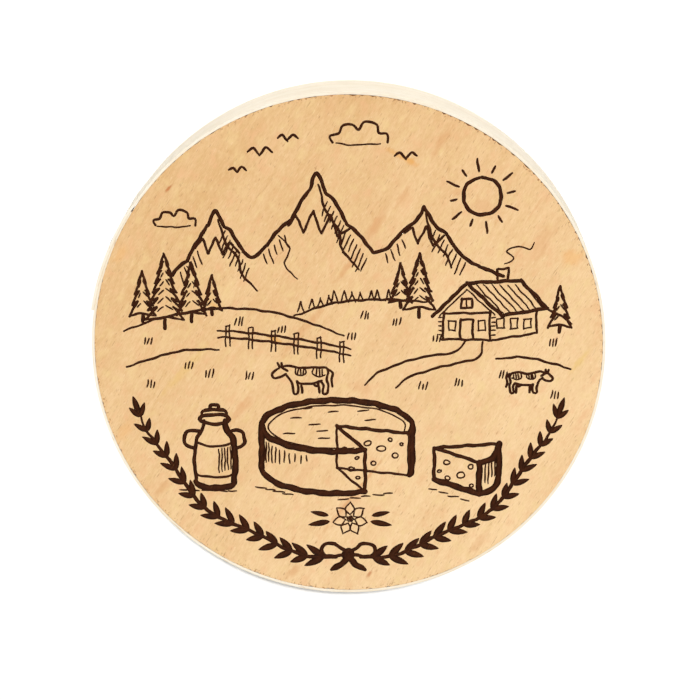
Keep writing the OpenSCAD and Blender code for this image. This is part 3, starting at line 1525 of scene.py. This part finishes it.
    def _chalet(self) -> None:
        """A timber chalet with a smoking chimney."""
        pen = self.pen
        pen.line(((18.8, 7.2), (26.4, 14.8), (34.2, 7.4)), Nib.MIDDLE)
        pen.line(((20.4, 7.4), (26.4, 13.3), (32.6, 7.6)), Nib.HAIR)
        pen.line(((26.4, 14.8), (38.4, 15.4), (44.4, 9.1), (34.2, 7.4)), Nib.MIDDLE)
        for wall in (((21.2, 2), (21.2, 8.2)), ((31.6, 2), (31.6, 8.4)), ((20.6, 2), (32.2, 1.8), (42, 3.4)),
                     ((42, 8.4), (42, 3.4)), ((33.2, 15.3), (33.2, 18), (35.6, 18.2), (35.6, 15.5)),
                     ((25, 2), (25, 6.4), (27.8, 6.4), (27.8, 2)),
                     ((25.2, 9.2), (25.2, 11.2), (27.6, 11.2), (27.6, 9.2), (25.2, 9.2)),
                     ((21.4, 7.9), (31.4, 8.0))):
            pen.line(wall)
        for x in (22.4, 29.0):
            pen.line(((x, 4), (x, 6.2), (x + 1.5, 6.2), (x + 1.5, 4), (x, 4)), Nib.HAIR)
        for x in (34.0, 37.0, 40.0):
            pen.line(((x - 0.8, 4.4), (x - 0.8, 6.6), (x + 0.8, 6.8), (x + 0.8, 4.6), (x - 0.8, 4.4)),
                     Nib.HAIR)
        for i in range(7):
            pen.curve(((28.4 + 1.75 * i, 14.4), (34.6 + 1.5 * i, 7.9 + 0.2 * i)), Nib.HAIR)
        for y in (2.9, 3.9, 4.9, 5.9, 6.9):
            pen.curve(((31.9, y), (32.9, y + 0.12)), Nib.HAIR)
            pen.curve(((20.2, y), (21.0, y)), Nib.HAIR)
        pen.curve(((26.4, 9.2), (26.4, 11.2)), Nib.HAIR)
        pen.curve(((34.6, 19.2), (36.8, 20.4), (35.2, 22), (37.6, 23.2), (40.4, 22.4), (41.2, 24)), Nib.HAIR)

    def _fence(self) -> None:
        """A post and rail fence."""
        pen = self.pen
        posts = [(-27 + 5.1 * i, 1.9 - 0.42 * i - 0.06 * i * i) for i in range(6)]
        for x, y in posts:
            pen.line(((x - 0.45, y - 1.7), (x - 0.45, y + 2.9), (x + 0.45, y + 3.1), (x + 0.45, y - 1.7)),
                     Nib.HAIR)
        for lift in (0.3, 1.8):
            pen.curve([(posts[0][0] - 2.2, posts[0][1] + lift), *((x, y + lift) for x, y in posts),
                       (posts[-1][0] + 2, posts[-1][1] + lift - 0.5)])

    def _cow(self, at: Point, scale: float, flip: bool = False) -> None:
        """A patched cow, seen from the side.

        Args:
            at: Its place on the ground, below its middle.
            scale: Its size.
            flip: Whether it looks to the right.
        """
        outline = (
            ((-5.0, 5.3), (-3.6, 5.6), (-2.2, 5.5), (0, 5.2), (2.6, 5.4), (4.2, 5.2), (4.8, 4.2)),
            ((4.7, 5.0), (5.5, 4.2), (5.4, 2.6), (5.6, 1.5)),
            ((4.8, 4.3), (4.3, 2.9), (4.7, 1.6), (4.5, 0), (3.7, 0), (3.8, 1.6), (3.2, 2.5)),
            ((3.3, 2.5), (1.4, 2.0), (-1, 2.1), (-1.5, 2.4)),
            ((-1.5, 2.4), (-1.3, 1.2), (-1.5, 0), (-2.3, 0), (-2.4, 1.6), (-3.0, 3.0), (-3.9, 3.9)),
            ((-3.8, 3.9), (-4.9, 3.4), (-6.1, 3.1), (-6.6, 3.8), (-5.9, 4.7), (-5.0, 5.3)),
            ((-5.1, 5.4), (-5.5, 6.2)), ((-4.5, 5.4), (-4.6, 6.3)), ((-4.4, 5.1), (-3.5, 4.6)),
            ((2.7, 2.4), (2.4, 1.5), (1.7, 2.1)),
            ((2.9, 0.1), (2.9, 1.8)), ((-0.6, 0.1), (-0.7, 1.9)),
        )
        for stroke in outline:
            self.pen.shape(stroke, at, scale, flip=flip)
        for spot in (((-1.8, 5.2), (-1.9, 3.9), (-0.6, 3.6), (0.3, 4.3), (0.1, 5.0)),
                     ((1.8, 5.1), (1.6, 4.1), (2.8, 3.4), (4.1, 3.9))):
            self.pen.shape(spot, at, scale, Nib.HAIR, flip)
        for x, low, high in ((-1.4, 4.0, 5.1), (-0.9, 3.8, 5.1), (-0.3, 3.9, 4.9), (2.3, 3.9, 5.1),
                             (2.9, 3.7, 5.0), (3.5, 3.9, 4.9)):
            self.pen.shape(((x, low), (x + 0.1, high)), at, scale, Nib.HAIR, flip)

    def _churn(self) -> None:
        """A milk churn with two handles."""
        pen = self.pen
        x = -30.2
        for side, nib in ((-1, Nib.MIDDLE), (1, Nib.BROAD)):
            pen.curve(((x + side * 4.3, -31.6), (x + side * 4.6, -26.4), (x + side * 4.2, -21.8),
                       (x + side * 2.7, -19), (x + side * 2.5, -17)), nib, (0.9, 0.9))
            pen.curve(((x + side * 3.2, -19.4), (x + side * 6.2, -19.6), (x + side * 6.7, -22.4),
                       (x + side * 4.7, -23.4)), Nib.MIDDLE, (0.9, 0.9))
            pen.line(((x + side * 2.8, -15.5), (x + side * 2.9, -16.4)))
        pen.arc((x, -31.4), (4.3, 1.4), 180, 360, Nib.BROAD)
        pen.arc((x, -16.7), (3.4, 1.1), 0, 360, Nib.MIDDLE, (1, 1))
        pen.arc((x, -15.3), (2.8, 0.9), 0, 180, Nib.MIDDLE)
        pen.curve(((x - 1.1, -14.5), (x - 0.8, -13.4), (x + 0.8, -13.4), (x + 1.1, -14.5)), Nib.MIDDLE)
        pen.arc((x, -21.8), (4.2, 1.2), 180, 360)
        pen.arc((x, -29.0), (4.4, 1.3), 180, 360)
        for i in range(5):
            pen.curve(((x + 0.9 + 0.66 * i, -23.6 + 0.1 * i), (x + 0.95 + 0.66 * i, -29.2 + 0.25 * i)),
                      Nib.HAIR)
        pen.hatch((x - 7, -33.4), (x + 6, -33.6), (-1.9, 0.15), 6)

    def _cheese(self) -> None:
        """A wheel of cheese with a wedge cut out."""
        pen = self.pen
        cx, cy, rx, ry, h = -2.6, -18.2, 17.0, 6.0, 9.8

        def rim(degrees: float, drop: float = 0.0) -> Point:
            """A point on the rim, or below it."""
            c, s = polar(1.0, degrees)
            return (cx + rx * c, cy - drop + ry * s)

        left, right = -68, -16
        pen.arc((cx, cy), (rx, ry), right, 360 + left, Nib.BROAD)
        pen.arc((cx, cy - h), (rx, ry), 180, 360 + left, Nib.BROAD)
        pen.arc((cx, cy - h), (rx, ry), right, 0, Nib.BROAD)
        for degrees in (180, 0):
            pen.line((rim(degrees), rim(degrees, h)), Nib.BROAD)
        for degrees in (left, right):
            pen.line(((cx, cy), rim(degrees), rim(degrees, h)), Nib.MIDDLE)
            pen.line(((cx, cy - h), rim(degrees, h)))
        pen.line(((cx, cy), (cx, cy - h)))
        pen.arc((cx, cy - 0.2), (rx - 1.6, ry - 0.95), right + 5, 352 + left, Nib.HAIR)
        for x, y, r in ((-0.9, -23.8, 0.8), (0.7, -28.2, 0.65), (2.0, -25.6, 0.5), (4.4, -22.2, 0.75),
                        (7.4, -23.4, 0.95), (5.6, -26.8, 0.6), (10.6, -25.0, 0.65), (9.4, -21.4, 0.5),
                        (2.2, -30.2, 0.45), (12.0, -22.4, 0.4)):
            pen.arc((x, y), (r, r * 0.74), 30, 385, Nib.HAIR)
        for i in range(13):
            x, y = rim(184 + i * 5.2, 1.5 + 0.3 * (i % 2))
            pen.curve(((x, y), (x + 0.05, y - 5.8 + 0.38 * i)), Nib.HAIR)
        for i in range(3):
            x, y = rim(-3 - i * 4.6, 1.4)
            pen.curve(((x, y), (x, y - 5.6 + 0.6 * i)), Nib.HAIR)
        for degrees, share in ((150, 0.62), (205, 0.7), (95, 0.55), (60, 0.7), (250, 0.5), (170, 0.3),
                               (120, 0.8), (28, 0.5), (225, 0.28)):
            x, y = rim(degrees)
            x, y = cx + (x - cx) * share, cy + (y - cy) * share
            pen.curve(((x - 1.2, y - 0.12), (x + 1.2, y + 0.12)), Nib.HAIR)
        pen.hatch((cx - 17, -32.6), (cx - 9, -34.6), (-2.4, 0.4), 4)
        pen.hatch((cx - 1, -35.6), (cx + 12, -33.8), (2.4, 0.1), 5)

    def _wedge(self) -> None:
        """The wedge that was cut from the wheel."""
        pen = self.pen
        tip, near, far, drop = (19.4, -23.2), (29.6, -26.6), (34.0, -22.2), 7.4
        low = [(x, y - drop) for x, y in (tip, near, far)]
        bow, low_bow = (32.8, -25.4), (32.8, -25.4 - drop)
        pen.line((near, tip, far), Nib.MIDDLE)
        pen.curve((near, bow, far), Nib.BROAD, (0.85, 0.85))
        pen.line((tip, low[0]), Nib.MIDDLE)
        pen.line((low[0], low[1], near), Nib.BROAD)
        pen.line((far, low[2]), Nib.BROAD)
        pen.curve((low[1], low_bow, low[2]), Nib.BROAD, (0.85, 0.85))
        for x, y, r in ((22.2, -26.6, 0.75), (25.4, -29.6, 0.95), (27.6, -27.6, 0.55), (22.4, -30.2, 0.5),
                        (27.8, -32.0, 0.5), (20.6, -28.6, 0.4)):
            pen.arc((x, y), (r, r * 0.78), 30, 385, Nib.HAIR)
        pen.hatch((30.6, -27.4), (33.4, -24.6), (0.05, -5.4), 4)
        pen.hatch((18.8, -32.6), (28.6, -36), (-2.2, 0.3), 4)

    def _flower(self, at: Point, size: float) -> None:
        """A star-shaped mountain flower between four leaves.

        Args:
            at: Its middle.
            size: Its size.
        """
        pen = self.pen
        x, y = at
        for i in range(7):
            degrees = 90 + i * 360 / 7
            c, s = polar(1.0, degrees)
            for side in (-1, 1):
                wide = side * 0.34 * size
                pen.curve(((x + c * 0.34 * size, y + s * 0.34 * size),
                           (x + c * 0.78 * size - s * wide, y + s * 0.78 * size + c * wide),
                           (x + c * 1.32 * size, y + s * 1.32 * size)), Nib.HAIR)
        for i in range(5):
            c, s = polar(0.42, i * 72)
            pen.arc((x + c, y + s), (0.24, 0.24), 0, 360, Nib.HAIR)
        for side in (-1, 1):
            pen.leaf((x + side * 4.6, y - 0.6), 90 - side * 100, 5.0, 1.3)
            pen.leaf((x + side * 4.9, y + 0.8), 90 - side * 78, 4.2, 1.1)

    def _wreath(self) -> None:
        """Two leafy sprays along the rim, tied with a bow."""
        pen = self.pen
        radius, first, turn, count = 49.0, 3.2, 4.3, 17

        def stem(i: float) -> tuple[Point, float]:
            """A place along the right-hand spray, and its angle."""
            degrees = 270 + first + i * turn
            return polar(radius + 0.7 * math.sin(i * 0.9), degrees), degrees

        for side in (-1, 1):
            pen.curve([(side * p[0], p[1]) for p, _ in map(stem, range(count))], Nib.MIDDLE, (1.0, 0.5))
            for i in range(1, count):
                (x, y), degrees = stem(i - 0.25)
                size = 4.9 - 0.09 * i
                for lean in (-1, 1):
                    way = degrees + 90 + lean * (33 + pen.hand.uniform(-4, 4))
                    pen.leaf((side * x, y), way if side > 0 else 180 - way,
                             size * pen.hand.uniform(0.9, 1.06), 1.62 - 0.03 * i)
            (x, y), degrees = stem(count - 1)
            pen.leaf((side * x, y), degrees + 90 if side > 0 else 90 - degrees, 4.2, 1.3)
            pen.curve(((0, -48.4), (side * 3.0, -46.0), (side * 5.8, -46.4), (side * 5.2, -48.8), (0, -48.4)),
                      Nib.MIDDLE, (1, 1))
            pen.curve(((0, -48.6), (side * 1.5, -50.8), (side * 3.9, -52.0)), Nib.BROAD, (0.9, 0.5))
        pen.arc((0, -48.5), (0.8, 0.9), 0, 360, Nib.BROAD, (1, 1))


GRAIN = 59.0
LID_MARKS = (
    Mark(20.5, 46.5, 59, 13, 2.4, Stain.BROWN, 0.5),
    Mark(12.1, 34.4, 55, 8, 2.6, Stain.BROWN, 0.4),
    Mark(6.0, 27.5, 55, 9, 3.6, Stain.BROWN, 0.5),
    Mark(0.1, 18.6, 51, 12, 2.4, Stain.BROWN, 0.5),
    Mark(-10.0, 4.0, 51, 22, 2.6, Stain.BROWN, 0.45),
    Mark(-24.6, -14.7, 53, 14, 3.0, Stain.BROWN, 0.45),
    Mark(2.1, -33.1, 52, 34, 1.0, Stain.BROWN, 0.6),
    Mark(-0.2, -36.8, 52, 24, 3.6, Stain.SOFT_BROWN, 0.4),
    Mark(-16.7, 2.0, -27, 6.5, 1.7, Stain.RUST, 0.75),
    Mark(-29.8, 9.4, -30, 5.5, 1.4, Stain.RUST, 0.45),
    Mark(11.6, 43.3, -27, 11, 1.8, Stain.RUST, 0.5),
    Mark(13.6, 42.2, -27, 5, 2.2, Stain.RUST, 0.55),
    Mark(-39.7, 36.0, 45, 3.4, 0.9, Stain.FLECK, 0.8),
    Mark(4.8, -53.0, 59, 2.6, 1.2, Stain.FLECK, 0.7),
    Mark(-12.5, -52.4, 50, 6, 2.6, Stain.BROWN, 0.5),
    Mark(-42.2, -32.8, 50, 9, 3.0, Stain.BROWN, 0.45),
    Mark(24.4, 35.5, 20, 5, 3.0, Stain.BROWN, 0.45),
    Mark(30.6, 31.5, -35, 11, 5.0, Stain.SOFT_BROWN, 0.45),
    Mark(43.0, 24.0, 59, 14, 5.0, Stain.SOFT_BROWN, 0.5),
    Mark(41.2, 31.5, 57, 12, 0.8, Stain.BROWN, 0.35),
    Mark(37.3, 21.2, 57, 14, 0.9, Stain.BROWN, 0.35),
    Mark(49.6, 20.6, 0, 7, 5.0, Stain.ORANGE, 0.5),
    Mark(51.8, -3.0, 50, 10, 1.8, Stain.OCHRE, 0.6),
    Mark(-37.2, -5.8, 48, 19, 2.6, Stain.OCHRE, 0.45),
    Mark(-50.6, 21.2, 59, 7, 3.2, Stain.ORANGE, 0.4),
    Mark(-50.5, -19.5, 59, 9, 3.4, Stain.ORANGE, 0.35),
    Mark(-9.7, -29.4, 55, 12, 4.0, Stain.SOFT_BROWN, 0.45),
    Mark(2.6, -9.3, -20, 8, 3.0, Stain.SOFT_BROWN, 0.5),
    Mark(-4.1, 54.0, 59, 7, 3.4, Stain.SOFT_BROWN, 0.4),
    Mark(29.5, -45.5, 50, 10, 2.6, Stain.SOFT_BROWN, 0.4),
)


def main() -> None:
    """Build the box piece by piece, then the studio."""
    logging.basicConfig(level=logging.INFO, format="%(name)s: %(message)s")
    sizes = BoxSizes()
    lid_wood = PeeledVeneer("lid_disc_veneer", GRAIN, 1.0, marks=LID_MARKS, drift=(0.0036, -0.0046),
                            rim=sizes.lid_inner_r)
    base_wood = PeeledVeneer("base_disc_veneer", 24.0, 11.0)
    ToothedDisc("lid_disc_stamped", "lid_disc", "lid", sizes.lid_inner_r, sizes.lid_disc_z,
                sizes.disc_t, lid_wood, seed=3).build()
    ToothedDisc("base_disc_stamped", "base_disc", "base", sizes.base_inner_r, 0.0,
                sizes.disc_t, base_wood, seed=4).build()
    lid_strip = (sizes.lid_inner_r, sizes.lid_band_z, sizes.lid_band_h, sizes.lid_lap_deg)
    base_strip = (sizes.base_inner_r, 0.0, sizes.lid_disc_z, sizes.lid_lap_deg + sizes.lap_apart_deg)
    for half, strip, staples, seed in (("lid", lid_strip, sizes.lid_staples, 21.0),
                                       ("base", base_strip, sizes.base_staples, 31.0)):
        finish = BandVeneer(f"{half}_band_veneer", seed)
        WoundBand(f"{half}_band_wound", f"{half}_band", half, *strip, finish, staples=staples,
                  crown_len=sizes.crown_len).build()
        LapGlue(f"{half}_lap_glue", f"{half}_band", half, *strip, finish).build()
    steel = StapleSteel().material()
    for node in ("lid_staple_left", "lid_staple_right", "base_staple_lower", "base_staple_upper"):
        ClinchedStaple(node, steel).dress()
    LidPicture("lid_picture", "lid", sizes.closed_h, StampedInk(GRAIN, lid_wood.seed)).build()
    Studio(sizes.closed_h).build()


if __name__ == "__main__":
    main()
